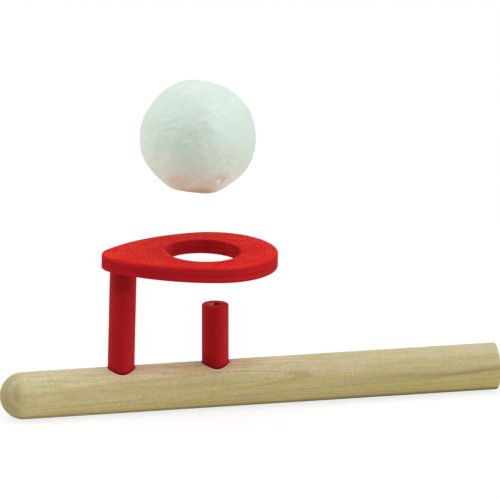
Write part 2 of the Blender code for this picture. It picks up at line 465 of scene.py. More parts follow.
wood, where = open_finish("pale_turned_wood")
x, y, z = split(where)
outward = z * math.sin(RINGS_FACE) - y * math.cos(RINGS_FACE)
sideways = y * math.sin(RINGS_FACE) + z * math.cos(RINGS_FACE)
past_tip = x - ARCH_TIP
climb = past_tip * ARCH_CLIMB - past_tip * past_tip * ARCH_EASING
sway = (blots(where, 7 * MM, (6, 1, 1), 3.1) - 0.5) * (0.45 * MM)
sway = sway + (blots(where, 1.1 * MM, (3, 1, 1), 6.3, 3.0) - 0.5) * (0.22 * MM)
ring = (outward + sideways * sideways / (2 * RING_RADIUS) - climb + sway - pipe_radius) / RING_WIDTH
year = ring.math("ROUND", ring)
luck = ring.node("ShaderNodeTexWhiteNoise", {"noise_dimensions": "1D"}, {"W": year}, "Value")
line_width = LINE_WIDTH + sideways * sideways * (LINE_SPREAD / pipe_radius ** 2)
late_wood = fade(ring.math("ABSOLUTE", ring - year) / line_width, 1.0, 0.0) * (0.5 + 0.5 * luck)
print("wood rings every", round(RING_WIDTH / MM, 2), "mm")

# %% [markdown]
# ## Years that stand out
# The lines of the years are strongest low on the pipe and inside the flame. A few years stand out: a dark
# one with a brown band towards the mouth end, and a warm spot at the flame's tip. A streak of resin runs
# slantwise past the dowels. Each is a mask on the ring number or the place, so it follows the grain.

# %% Years that stand out
DARK_YEAR, BROWN_YEAR = -0.93, -1.1
YEAR_STEP = 0.4
RESIN_HEIGHT, RESIN_SLOPE = 7.7 * MM, 0.043

patchy = fade(blots(where, 7 * MM, (6, 1, 1), 8.2), 0.25, 0.6)
low_side = fade(z, 6 * MM, 3 * MM)
in_flame = fade(past_tip, 2 * MM, -4 * MM)
late_wood = late_wood * (0.5 + 0.5 * patchy) * (0.4 + 0.6 * low_side + in_flame * (0.5 - 0.8 * low_side))
early_wood = fade(ring - ring.math("FLOOR", ring), 0.2, 1.0) * (0.3 + 0.7 * patchy) * fade(z, 6 * MM, 2 * MM)
lower_side = fade(z, 3.2 * MM, 1.6 * MM)
low_year = ring - YEAR_STEP * fade(x, 36 * MM, 10 * MM)
dark_year = about(low_year, DARK_YEAR, 0.2, 0.02) * fade(x, -15 * MM, 35 * MM) * lower_side
brown_band = about(low_year, BROWN_YEAR, 0.5, 0.1) * fade(x, -20 * MM, 10 * MM) * lower_side
outer_years = fade(low_year, -1.0, -1.4) * fade(x, -30 * MM, 35 * MM) * lower_side
tip_spot = about(ring, 0.0, 0.42, 0.0) * fade(past_tip, -9 * MM, -3 * MM)
tip_spot = tip_spot * fade(past_tip, 1.5 * MM, -1 * MM)
resin = about(z - x * RESIN_SLOPE + sway, RESIN_HEIGHT, 0.9 * MM, 0.0)
resin = resin * fade(x, -45 * MM, -58 * MM) * fade(x, -115 * MM, -95 * MM)
print("flame tip at", round(ARCH_TIP / MM, 1), "mm")

# %% [markdown]
# ## Fibres, end grain and stains
# Between its years, wood shows fibres of many lengths: short flecks, long strands and slow patches. Each is
# random grey drawn out along the pipe. The dome cuts through the years, so they show there as arcs, and both
# ends show open pores. Round the dowels some red has crept into the wood, with a few pale chips.

# %% Fibres, end grain and stains
STAIN_REACH = 1.3 * MM

fibre = blots(where, 0.26 * MM, (3, 1, 1), 1.7, 3.0)
strand = blots(where, 0.9 * MM, (14, 1, 1), 5.3)
grain = blots(where, 0.5 * MM, (18, 1, 1), 7.9)
patch = blots(where, 2.4 * MM, (3, 1, 1), 4.9)
pink_patch = fade(blots(where, 4 * MM, (7, 1, 1), 6.6), 0.48, 0.68)
grey_patch = fade(blots(where, 3 * MM, (8, 1, 1), 12.4), 0.5, 0.7)
fleck = fade(blots(where, 0.24 * MM, (4, 1, 1), 9.4), 0.6, 0.75)
lathe_mark = fade(blots(where, 0.7 * MM, (1, 40, 40), 4.4, 3.0), 0.5, 0.75)

dome_edge = pipe_low.x + pipe_radius
dome_end = fade(x, dome_edge, pipe_low.x + 0.1 * pipe_radius)
cut_end = fade(x, pipe_high.x - 0.5 * MM, pipe_high.x - 0.1 * MM)
end_grain = dome_end.math("MAXIMUM", dome_end, cut_end)
end_pore = blots(where, 0.4 * MM, (2, 1, 1), 2.2, 3.0)
on_dome = fade(x, dome_edge + MM, dome_edge - 4 * MM)
depth = (pipe_radius - outward + sway) / MM + (blots(where, 1.6 * MM, seed=2.6) - 0.5) * 0.9
dome_shade = fade(x, dome_edge, pipe_low.x - 0.2 * pipe_radius)


def from_upright(x, y, upright_x):
    """Distance from an upright line that meets the pipe's axis."""
    across = x - upright_x
    return x.math("SQRT", across * across + y * y)


near_dowel = x.math("MINIMUM", from_upright(x, y, nozzle_x), from_upright(x, y, post_x))
near_dowel = near_dowel + (blots(where, 1.2 * MM, seed=3.7) - 0.5) * (0.7 * MM) - dowel_radius
upper_half = fade(z, 0.0, 4 * MM)
stain = fade(near_dowel, STAIN_REACH, -0.3 * MM) * upper_half
bled = fade(near_dowel, 0.7 * MM, 0.2 * MM) * fade(z, 7.55 * MM, 7.85 * MM)
chipped = fade(near_dowel, 0.7 * MM, 0.3 * MM) * fade(z, 7.4 * MM, 7.1 * MM) * upper_half
print("stains end", round(STAIN_REACH / MM, 1), "mm from the dowels")

# %% [markdown]
# ## Colours of the wood
# The masks are laid over each other like thin glazes, from large to small: first the slow change along and
# round the pipe, then the years, then the fibres, and last the ends and the stains. The upper half is painted
# paler and whiter as sheen, the top near the dowels paler still to offset the hoop's shade, and the bottom
# darker as painted shade. The dome is darker too, as in the photograph.

# %% Colours of the wood
to_mouth = fade(x, -60 * MM, 30 * MM)
low_at_dome = fade(z, 3 * MM, -5 * MM) * fade(x, 20 * MM, -70 * MM)
pale_top = fade(z, 3.8 * MM, 6.6 * MM) * fade(x, -88 * MM, -68 * MM) * fade(x, -12 * MM, -30 * MM)
warm_middle = about(z, 2.4 * MM, 1.2 * MM, 0.2 * MM) * fade(x, -20 * MM, -50 * MM)
at_mouth = fade(x, 5 * MM, 20 * MM)
pale_streak = fade(z, 5.8 * MM, 6.6 * MM) * at_mouth
dark_streak = about(z, 5.2 * MM, 0.8 * MM, 0.2 * MM) * at_mouth
low_line = about(z, -1.8 * MM, 0.9 * MM, 0.1 * MM) * fade(x, -70 * MM, -90 * MM)
# painted shade: the lowest part of the pipe is darker
painted_shade_underside = fade(z, -5.0 * MM, -6.7 * MM) * (0.6 + 0.4 * fade(x, -100 * MM, 50 * MM))
bare = glazed(
    screen_colour(221, 207, 143),
    # painted sheen: the upper half is paler and whiter
    (fade(z, 1 * MM, 8.2 * MM), 222, 217, 182),
    (to_mouth * 0.75, 197, 187, 139),
    (low_at_dome * 0.85, 240, 226, 160),
    (fade(x, -50 * MM, -85 * MM) * 0.35, 238, 232, 184),
    (outer_years * 0.55, 212, 197, 102),
    (fade(z, -1.5 * MM, -4.5 * MM) * 0.35, 224, 206, 98),
    (pale_top * 0.7, 254, 244, 202),
    (warm_middle * 0.3, 186, 160, 96),
    (pale_streak * 0.35, 214, 215, 192),
    (dark_streak * 0.25, 176, 160, 112),
    (low_line * 0.25, 190, 168, 100),
    (pink_patch * 0.28, 226, 199, 162),
    (grey_patch * 0.45, 200, 194, 150),
    (fade(strand, 0.35, 0.7) * 0.3, 194, 177, 116),
    (fade(grain, 0.5, 0.72) * 0.2, 176, 154, 94),
    (fade(grain, 0.46, 0.3) * 0.2, 232, 226, 188),
    (fade(patch, 0.54, 0.68) * 0.35, 210, 198, 118),
    (fade(patch, 0.44, 0.32) * 0.3, 206, 202, 176),
    (resin * 0.4, 208, 166, 100),
    (early_wood * 0.18, 204, 176, 108),
    (late_wood * (0.44 + 0.16 * fade(x, -80 * MM, -30 * MM)), 164, 125, 64),
    (tip_spot * 0.22, 188, 154, 80),
    (brown_band * 0.16, 180, 146, 76),
    (dark_year * 0.4, 132, 108, 44),
    (fade(fibre, 0.42, 0.7) * 0.42, 176, 158, 102),
    (fade(fibre, 0.45, 0.25) * 0.42, 230, 223, 182),
    (fleck * 0.5, 146, 126, 78),
    (lathe_mark * 0.1, 172, 154, 108),
    (end_grain * fade(end_pore, 0.35, 0.7) * 0.5, 156, 140, 96),
    (dome_shade * 0.9, 166, 150, 98),
    (on_dome * fade(depth, 0.0, 0.6) * fade(depth, 1.7, 1.2) * 0.24, 146, 130, 92),
    (on_dome * fade(depth, 1.4, 1.9) * fade(depth, 2.8, 2.3) * 0.16, 208, 195, 164),
    (on_dome * fade(depth, 2.4, 3.2) * 0.22, 142, 130, 78),
    (painted_shade_underside * 0.88, 120, 104, 26),
    (stain * 0.5, 230, 156, 122),
    (chipped * 0.7, 255, 214, 190),
    (bled * 0.6, 150, 62, 32),
)
wood_height = fibre * 0.5 - late_wood * 0.3 - fleck * 0.6 + end_grain * end_pore
close_finish(where, bare, 0.46 + 0.2 * fibre, wood_height, 0.05 * MM, {"Specular IOR Level": 0.3})
print("wood has", len(wood.node_tree.nodes), "nodes")

# %% [markdown]
# ## Blow pipe
# The player blows into the flat mouth end. The bore runs past the nozzle and stops, so that the air has to
# leave upwards, and the other end is closed and rounded. The profile is drawn once, from the dome's tip along
# the outside to the mouth end and back down the bore, and the tree turns it. Booleans then drill the two
# dowel sockets, hardly wider than the dowels, as in a glued joint.

# %% Blow pipe
MOUTH_EASING = 0.4 * MM
BORE_RADIUS = 4 * MM
BORE_PAST_NOZZLE = 5 * MM
DRILL_POINT_ANGLE = math.radians(118)
JOINT_GAP = 0.1 * MM
NOZZLE_SOCKET_FLOOR = 3 * MM
POST_SOCKET_DEPTH = 7.3 * MM
DRILL_START = 4 * MM
DOME_STEPS, STRAIGHT_STEPS, RIM_STEPS = 48, 70, 8

bore_end = nozzle_x - BORE_PAST_NOZZLE
dome = arc((dome_edge, 0), pipe_radius, 180, 90, DOME_STEPS)
rim = arc((pipe_high.x - MOUTH_EASING, pipe_radius - MOUTH_EASING), MOUTH_EASING, 90, 0, RIM_STEPS)
lip = arc((pipe_high.x - MOUTH_EASING, BORE_RADIUS + MOUTH_EASING), MOUTH_EASING, 0, -90, RIM_STEPS)
straight = [(dome[-1][0] + (rim[0][0] - dome[-1][0]) * i / STRAIGHT_STEPS, pipe_radius)
            for i in range(1, STRAIGHT_STEPS)]
bore = [(bore_end, BORE_RADIUS), (bore_end - BORE_RADIUS / math.tan(DRILL_POINT_ANGLE / 2), 0)]
dome[0] = (pipe_low.x, 0)
pipe_outline = [(r, along) for along, r in dome + straight + rim + lip + bore]

lying = Matrix.Rotation(math.pi / 2, 4, "Y")
pipe_blank = keep_piece(turned_draft("pipe_blank", pipe_outline, PIPE_SIDES, wood), "pipe_blank", lying)
socket_radius = dowel_radius + JOINT_GAP
drills = [
    drill(pipe_blank, "nozzle_drill", socket_radius, NOZZLE_SOCKET_FLOOR, pipe_radius + DRILL_START,
          Matrix.Translation((nozzle_x, 0, 0))),
    drill(pipe_blank, "post_drill", socket_radius, -POST_SOCKET_DEPTH, DRILL_START, leaning),
]
pipe_wood = keep_piece(pipe_blank, "pipe_wood")
for bit in drills:
    bpy.data.objects.remove(bit)

# %% [markdown]
# ## Red dowel paint
# Nozzle and post are dipped in red paint that has soaked into the wood: it is satin, a little streaky along
# the grain, and gritty. Painted shade runs round each foot, under the plate on the post and low on the
# nozzle's left, and painted light brightens the side towards the mouth end. Beside the nozzle's hole its cut
# top has a painted highlight of bare wood, and the hole itself is painted with light and shade.
# Roughness changes with the grit; a clear coat would shine too much.

# %% Red dowel paint
NOZZLE_HOLE = 1.5 * MM
SHADE_FROM, SHADE_FULL = 34.0 * MM, 37.7 * MM
LIT_SPOT_X, LIT_SPOT_Y = nozzle_x - 1.9 * MM, 1.1 * MM

dowel_paint, where = open_finish("red_dowel_paint")
x, y, z = split(where)
streak = blots(where, 0.5 * MM, (1, 1, 22), 2.9, 3.0)
cloud = blots(where, 2.2 * MM, (1, 1, 3), 7.7)
grit = blots(where, 0.4 * MM, (1, 1, 1.6), 4.1, 3.0)
is_post = x.math("LESS_THAN", x, (nozzle_x + post_x) / 2)
lean = (z - pipe_radius) * math.tan(POST_LEAN)
across = (x - nozzle_x + is_post * (nozzle_x - post_x - lean)) / dowel_radius
# painted light: the side of each dowel towards the mouth end is lighter
painted_light_side = fade(across, -0.3, 0.7)
from_pipe = x.math("SQRT", y * y + z * z) - pipe_radius
# painted shadow: a dark band round each foot, where the dowel meets the pipe
painted_foot_shadow = fade(from_pipe, 1.4 * MM, 0.0)
# painted shade: the post darkens just under the plate, most towards the middle of its width
painted_shade_under_plate = fade(z, SHADE_FROM, SHADE_FULL) * about(across, -0.2, 0.95, 0.35)
# painted shade: the nozzle is darker low on its left, towards the post
painted_shade_low_left = fade(z, pipe_radius + 4.5 * MM, pipe_radius + 1.5 * MM) * fade(across, 0.3, -0.6) * (1 - is_post)

from_axis = from_upright(x, y, nozzle_x)
below_top = nozzle_high.z - z
cut_top = fade(below_top, 0.25 * MM, 0.05 * MM) * fade(from_axis, 8 * MM, 6 * MM)
# painted highlight: a pale bare-wood spot on the cut top beside the hole stands for the hole's lit inner wall
painted_lit_wall_spot = cut_top * fade(from_upright(x, y - LIT_SPOT_Y, LIT_SPOT_X), 1.3 * MM, 0.4 * MM)
drilled = fade(from_axis, NOZZLE_HOLE + 0.25 * MM, NOZZLE_HOLE + 0.05 * MM)
drilled = drilled * fade(z, pipe_radius, pipe_radius + MM)
# painted light and shade inside the hole: bright red at the mouth, then bare wood, pale on the left as
# painted light and dark on the right as painted shade
hole_mouth = fade(below_top, 0.7 * MM, 0.3 * MM)
painted_lit_hole_side = fade(x, nozzle_x + 0.2 * MM, nozzle_x - 0.7 * MM)
hole_red = tint(painted_lit_hole_side, screen_colour(70, 8, 6), screen_colour(238, 150, 128))
hole_red = tint(hole_mouth, screen_colour(226, 60, 54), hole_red)

red = glazed(
    screen_colour(179, 26, 33),
    (painted_light_side, 200, 32, 40),
    (fade(streak, 0.6, 0.3) * 0.3, 172, 24, 31),
    (fade(cloud, 0.4, 0.75) * 0.4, 175, 25, 31),
    (fade(grit, 0.5, 0.75) * 0.35, 206, 40, 44),
    (fade(grit, 0.42, 0.25) * 0.35, 160, 20, 26),
    (cut_top * 0.7, 164, 28, 33),
    (painted_lit_wall_spot * 0.5, 206, 96, 84),
    (painted_foot_shadow * 0.75, 92, 14, 6),
    (painted_shade_under_plate * 0.5, 134, 17, 20),
    (painted_shade_low_left * 0.5, 130, 20, 22),
)
red = tint(drilled * 0.95, red, hole_red)
dowel_height = streak * 0.4 + grit * 0.4
close_finish(where, red, 0.50 + 0.2 * grit, dowel_height, 0.03 * MM, {"Specular IOR Level": 0.05})
print("dowel paint has", len(dowel_paint.node_tree.nodes), "nodes")

# %% [markdown]
# ## Nozzle and post
# Both are lengths of one dowel. The nozzle is drilled along its axis, and its profile is a closed loop, so
# the tree turns it into a tube. The post is solid and leans a little to the mouth end.

# %% Nozzle and post
DOWEL_EASING, DOWEL_STEPS = 0.3 * MM, 6

top, foot = nozzle_high.z, nozzle_low.z
nozzle_lip = arc((NOZZLE_HOLE + DOWEL_EASING, top - DOWEL_EASING), DOWEL_EASING, 180, 90, DOWEL_STEPS)
nozzle_rim = arc((dowel_radius - DOWEL_EASING, top - DOWEL_EASING), DOWEL_EASING, 90, 0, DOWEL_STEPS)
tube = [(NOZZLE_HOLE, foot)] + nozzle_lip + nozzle_rim + [(dowel_radius, foot), (NOZZLE_HOLE, foot)]
nozzle_dowel = keep_piece(turned_draft("nozzle_draft", tube, DOWEL_SIDES, dowel_paint), "nozzle_dowel",
                          Matrix.Translation((nozzle_x, 0, 0)))

slack = dowel_radius * math.sin(POST_LEAN)
post_ends = [(z - pipe_radius) / math.cos(POST_LEAN) for z in (post_low.z + slack, post_high.z - slack)]
rod = [(0, post_ends[0]), (dowel_radius, post_ends[0]), (dowel_radius, post_ends[1]), (0, post_ends[1])]
post_dowel = keep_piece(turned_draft("post_draft", rod, DOWEL_SIDES, dowel_paint), "post_dowel", leaning)

# %% [markdown]
# ## Red plate paint
# The hoop plate is sawn from thin wood board and painted. Its faces show the paint's fine orange-red speckle
# over raised grain. The sawn edges drink more paint, so they are darker and show the board's layers as faint
# level lines. The upper rounded rims carry a painted highlight, most of all round the tip and on one side of
# the hole. Painted shade darkens the sawn edge towards the tip and the hole's wall, and painted light
# brightens the left of that wall.
# The mesh carries an attribute that is 0 on the faces and 1 on the sawn edges, because no pattern in space
# could follow the outline.

# %% Red plate paint
HOLE_RADIUS, HOLE_FROM_POST = 12.5 * MM, 27.4 * MM
PLATE_TOP, PLATE_THICKNESS = 40.2 * MM, 5.1 * MM
DARK_LAYER = PLATE_TOP - 2.6 * MM
PALE_RIM_WAY = (-0.85, -0.53)

plate_paint, where = open_finish("red_plate_paint", post_foot, (0, POST_LEAN, 0))
x, y, z = split(where)
sawn = where.node("ShaderNodeAttribute", {"attribute_name": "sawn"}, None, "Fac")
speckle = blots(where, 0.45 * MM, (1, 1.5, 1), 3.3, 4.0)
mottle = blots(where, 3.0 * MM, (2, 1, 1), 6.1, 3.0)
layer = blots(where, 0.6 * MM, (30, 30, 1), 1.9, 3.0)
worn = fade(speckle, 0.52, 0.68) * fade(mottle, 0.3, 0.6) * (0.8 - 0.55 * fade(y, -11 * MM, -15 * MM))
# painted highlight on the upper rounded rims between the faces and the sawn edges
painted_rim_highlight = 4 * sawn * (1 - sawn) * fade(z, DARK_LAYER, DARK_LAYER + MM)
dark_layer = about(z, DARK_LAYER, 0.8 * MM, 0.1 * MM)
# painted highlight: the top of the sawn edge round the tip is brighter
painted_tip_highlight = fade(z, PLATE_TOP - 1.2 * MM, PLATE_TOP - 0.5 * MM) * fade(x, 10 * MM, 0.0)
painted_tip_highlight = painted_tip_highlight * fade(x, -7.2 * MM, -4.5 * MM)
past_hole = from_upright(x, y, HOLE_FROM_POST) - HOLE_RADIUS
in_hole = fade(past_hole, 0.4 * MM, 0.1 * MM)
hole_x, hole_y = (x - HOLE_FROM_POST) / HOLE_RADIUS, y / HOLE_RADIUS
# painted light: the hole's wall is lighter on its left
painted_light_hole_left = fade(hole_x, -0.6, -0.95)
# painted highlight round the rim of the hole on one side
rim_side = hole_x * PALE_RIM_WAY[0] + hole_y * PALE_RIM_WAY[1]
painted_hole_rim_highlight = fade(past_hole, 1.0 * MM, 0.6 * MM) * fade(rim_side, 0.72, 0.95)

face_red = glazed(
    screen_colour(233, 37, 42),
    (fade(mottle, 0.35, 0.7), 231, 54, 44),
    (worn, 236, 100, 60),
    (fade(y, 13 * MM, 18 * MM) * 0.6, 212, 62, 50),
    (fade(speckle, 0.48, 0.34) * 0.9, 178, 24, 32),
)
edge_red = glazed(
    screen_colour(189, 29, 36),
    (fade(layer, 0.35, 0.65), 200, 34, 40),
    (fade(speckle, 0.5, 0.7) * 0.4, 204, 36, 42),
    (dark_layer * 0.4, 164, 24, 30),
    # painted shade: the sawn edge is darker towards the tip
    (fade(x, 24 * MM, 2 * MM) * 0.25, 160, 20, 28),
    (painted_tip_highlight * 0.6, 236, 44, 44),
)
# painted shade: the hole's wall is darker than the sawn edges
hole_red = glazed(
    screen_colour(146, 20, 24),
    (fade(mottle + speckle, 0.8, 1.2), 184, 30, 34),
    (fade(layer, 0.5, 0.7) * 0.3, 190, 34, 36),
    (painted_light_hole_left * 0.5, 208, 42, 46),
)
red = glazed(
    tint(fade(sawn, 0.3, 0.9), face_red, edge_red),
    (painted_rim_highlight * 0.4, 230, 36, 40),
    (painted_hole_rim_highlight * 0.6, 244, 92, 86),
)
red = tint(in_hole * 0.7, red, hole_red)
plate_height = speckle * (1 - sawn) + layer * sawn * 0.5 + mottle * 0.5
close_finish(where, red, 0.62 + 0.2 * speckle, plate_height, 0.05 * MM, {"Specular IOR Level": 0.02})
print("plate paint has", len(plate_paint.node_tree.nodes), "nodes")

# %% [markdown]
# ## Plate outline
# The outline is a teardrop of four arcs that run smoothly into each other: a narrow one round the post, a
# wide one round the hole, and a flat one on each side. A freehand curve would do, but arcs are easier to move
# in: because all four bulge outwards, that only shortens their radii.

# %% Plate outline
NARROW_RADIUS, WIDE_RADIUS, SIDE_RADIUS = 7.4 * MM, 21.75 * MM, 56.2 * MM
ARC_SPACING = 31.0 * MM
OUTLINE_STEPS = 300

to_narrow, to_wide = SIDE_RADIUS - NARROW_RADIUS, SIDE_RADIUS - WIDE_RADIUS
side_x = (to_narrow ** 2 - to_wide ** 2 + ARC_SPACING ** 2) / (2 * ARC_SPACING)
side_y = math.sqrt(to_narrow ** 2 - side_x ** 2)
at_narrow, at_wide = math.atan2(side_y, -side_x), math.atan2(side_y, ARC_SPACING - side_x)
OUTLINE_ARCS = (
    (ARC_SPACING, 0, WIDE_RADIUS, -at_wide, at_wide),
    (side_x, -side_y, SIDE_RADIUS, at_wide, at_narrow),
    (0, 0, NARROW_RADIUS, at_narrow, math.tau - at_narrow),
    (side_x, side_y, SIDE_RADIUS, -at_narrow, -at_wide),
)
outline_length = sum(r * (end - start) for _, _, r, start, end in OUTLINE_ARCS)


def outline_point(step):
    """The centre, radius and angle of one of the evenly spaced points of the outline."""
    run = outline_length * step / OUTLINE_STEPS
    for middle_x, middle_y, r, start, end in OUTLINE_ARCS:
        if run <= r * (end - start):
            return middle_x, middle_y, r, start + run / r
        run -= r * (end - start)
    return middle_x, middle_y, r, end


POINTS = [outline_point(step) for step in range(OUTLINE_STEPS)]


def outer_ring(inset):
    """The outline's points, moved in."""
    return [(mx + (r - inset) * math.cos(a), my + (r - inset) * math.sin(a)) for mx, my, r, a in POINTS]


def hole_ring(growth):
    """Points round the hole, each in the direction of its partner on the outline."""
    ways = [math.atan2(py, px - HOLE_FROM_POST) for px, py in outer_ring(0)]
    reach = HOLE_RADIUS + growth
    return [(HOLE_FROM_POST + reach * math.cos(a), reach * math.sin(a)) for a in ways]


print("outline is", round(outline_length / MM, 1), "mm round")

# %% [markdown]
# ## Hoop plate
# The plate is built as rings of points round its hollow cross-section: across the top, over the rounded rim,
# down the edge, back underneath and up the hole. A bevelled outline would do, but here each rim has its
# own rounding, and each ring says how much of it is sawn edge.

# %% Hoop plate
PLATE_EASING, PLATE_FOOT = 0.7 * MM, 0.35 * MM
HOLE_EASING, HOLE_FOOT = 0.45 * MM, 1.0 * MM
PLATE_SOCKET_DEPTH = 3 * MM
FACE_STEPS, EASING_STEPS, EDGE_STEPS = 10, 8, 6


def between(first, second, share):
    """A ring between two others."""
    return [(a[0] + (b[0] - a[0]) * share, a[1] + (b[1] - a[1]) * share) for a, b in zip(first, second)]


low, high = PLATE_TOP - PLATE_THICKNESS, PLATE_TOP
edge, base, lip, sole = PLATE_EASING, PLATE_FOOT, HOLE_EASING, HOLE_FOOT
crossing = [i / FACE_STEPS for i in range(FACE_STEPS + 1)]
turns = [math.radians(90 * i / EASING_STEPS) for i in range(1, EASING_STEPS + 1)]
quarter = [(math.sin(t), math.cos(t)) for t in turns]
climb = [i / EDGE_STEPS for i in range(1, EDGE_STEPS + 1)]
tall, hole_tall = PLATE_THICKNESS - edge - base, PLATE_THICKNESS - lip - sole
rings = [(between(hole_ring(lip), outer_ring(edge), share), high, 0) for share in crossing]
rings += [(outer_ring(edge * (1 - s)), high - edge * (1 - c), s) for s, c in quarter]
rings += [(outer_ring(0), high - edge - tall * share, 1) for share in climb]
rings += [(outer_ring(base * (1 - c)), low + base * (1 - s), c) for s, c in quarter]
rings += [(between(outer_ring(base), hole_ring(sole), share), low, 0) for share in crossing[1:]]
rings += [(hole_ring(sole * (1 - s)), low + sole * (1 - c), s) for s, c in quarter]
rings += [(hole_ring(0), low + sole + hole_tall * share, 1) for share in climb]
rings += [(hole_ring(lip * (1 - c)), high - lip * (1 - s), c) for s, c in quarter[:-1]]

plate_points = [(px, py, height) for ring_points, height, _ in rings for px, py in ring_points]
plate_faces = []
for i in range(len(rings)):
    here, there = i * OUTLINE_STEPS, (i + 1) % len(rings) * OUTLINE_STEPS
    for j in range(OUTLINE_STEPS):
        k = (j + 1) % OUTLINE_STEPS
        plate_faces.append((here + j, here + k, there + k, there + j))
plate_blank = draft_from("plate_blank", plate_points, plate_faces)
sawn_share = plate_blank.data.attributes.new("sawn", "FLOAT", "POINT")
sawn_share.data.foreach_set("value", [share for _, _, share in rings for _ in range(OUTLINE_STEPS)])
plate_blank.data.materials.append(plate_paint)
plate_drill = drill(plate_blank, "plate_drill", socket_radius, low - DRILL_START, low + PLATE_SOCKET_DEPTH,
                    Matrix.Identity(4))
plate_teardrop = keep_piece(plate_blank, "plate_teardrop", leaning)
bpy.data.objects.remove(plate_drill)

# %% [markdown]
# ## Spots on the ball
# The ball's marks are named by where the photograph shows them, in radii from the ball's middle. That is
# turned once into a direction fixed to the ball, so the marks stay on the foam whatever the view. Crumpled
# foam has small creased cells: a Voronoi texture, bent by noise and squashed to lie level. The mesh and the
# material read the same cells.

# %% Spots on the ball
CREASE_SPOTS = ((-0.26, 0.80), (-0.47, 0.18), (-0.15, -0.05), (0.20, 0.36), (0.02, -0.20), (-0.70, -0.40),
                (0.50, -0.53))
CREASE_SIZE, CREASE_BEND, CREASE_SQUASH = 2.7 * MM, 2.4 * MM, 0.6


def on_photo_side(x, y):
    """Direction from the ball's centre to a spot that the camera sees, x to the right and y up, in radii."""
    return right * x + up * y - ahead * math.sqrt(max(0.0, 1 - x * x - y * y))


def along(direction, way):
    """How far a direction points along a fixed way, from -1 to 1."""
    return direction.node("ShaderNodeVectorMath", {"operation": "DOT_PRODUCT"},
                          {0: direction, 1: way}, "Value")


def near_spot(direction, x, y, start, end=1.0):
    """A soft mask about a spot that the camera sees: start and end say how near, as in `along`."""
    return fade(along(direction, on_photo_side(x, y)), start, end)


def from_centre(where):
    """The direction of a place from the ball's centre, and the point of the round ball that lies there."""
    direction = where.vector("NORMALIZE", where)
    return direction, where.vector("SCALE", direction, Scale=ball_radius)


def cells(place, size, feature="F1", randomness=1.0, wanted="Distance"):
    """Voronoi cells of that size: the distance to a cell's point or edge in cell sizes, or its colour."""
    return place.node("ShaderNodeTexVoronoi", {"feature": feature},
                      {"Vector": place, "Scale": 1 / size, "Randomness": randomness}, wanted)


def crumple(direction, on_ball):
    """How crumpled the foam is, 0 to 1, and the bent and level-lying places of its small creased cells."""
    crumpled = fade(blots(on_ball, 6 * MM, seed=5.0), 0.48, 0.6) * fade(along(direction, ahead), -0.1, 0.3)
    for x, y in CREASE_SPOTS:
        crumpled = crumpled.math("MAXIMUM", crumpled, near_spot(direction, x, y, 0.955, 0.99))
    bend = on_ball.node("ShaderNodeTexNoise", None,
                        {"Vector": on_ball, "Scale": 1 / (2.2 * MM), "Detail": 2.0}, "Color")
    bent = on_ball.vector("MULTIPLY_ADD", bend, [CREASE_BEND] * 3, on_ball)
    rise = on_ball.vector("SCALE", up, Scale=along(on_ball, up) * CREASE_SQUASH)
    return crumpled, on_ball.vector("ADD", bent, rise)


print(len(CREASE_SPOTS), "crumpled spots")

# %% [markdown]
# ## White foam
# The ball is pressed from foam beads: small many-sided cells with fine seams between them, which is again a
# Voronoi texture. The foam is a greenish white that changes slowly over the ball, under broad patches of
# painted light and shade. Crease ridges carry a painted highlight. Low on the side towards the camera there
# is red paint worn off the hoop onto the foam together with a painted red reflection of it, painted shade
# at the very bottom, and a small chip, with painted shade in its dent and a painted highlight on its lip.

# %% White foam
BEAD_SIZE, BEAD_SPREAD = 2.6 * MM, 0.9
RUB_AND_REFLECTION_SPOTS = ((-0.05, -0.88, 0.82, 0.98, 0.34), (-0.34, -0.80, 0.965, 0.997, 0.4),
             (0.12, -0.88, 0.965, 0.995, 0.3))

foam, where = open_finish("white_foam", ball_centre)
direction, on_ball = from_centre(where)
near = partial(near_spot, direction)
crumpled, bent = crumple(direction, on_ball)
crease = fade(cells(bent, CREASE_SIZE, "DISTANCE_TO_EDGE"), 0.06, 0.0) * crumpled
seam = fade(cells(on_ball, BEAD_SIZE, "DISTANCE_TO_EDGE", BEAD_SPREAD), 0.08, 0.0)
seam_shown = fade(blots(on_ball, 4 * MM, seed=9.1), 0.4, 0.6)
bead_luck = split(cells(on_ball, BEAD_SIZE, "F1", BEAD_SPREAD, "Color"))[0]
crumb = blots(on_ball, 0.5 * MM, seed=4.7, detail=3.0)
cloud = blots(on_ball, 7 * MM, seed=1.2)
smear = blots(on_ball, 3.2 * MM, seed=7.5, detail=3.0)
# painted highlight on the crease ridges, weaker low on the right
crease_highlight_share = 0.5 - 0.4 * near(0.50, -0.40, 0.965, 0.99)
smeared = 0.5 + 0.5 * fade(smear, 0.3, 0.62)
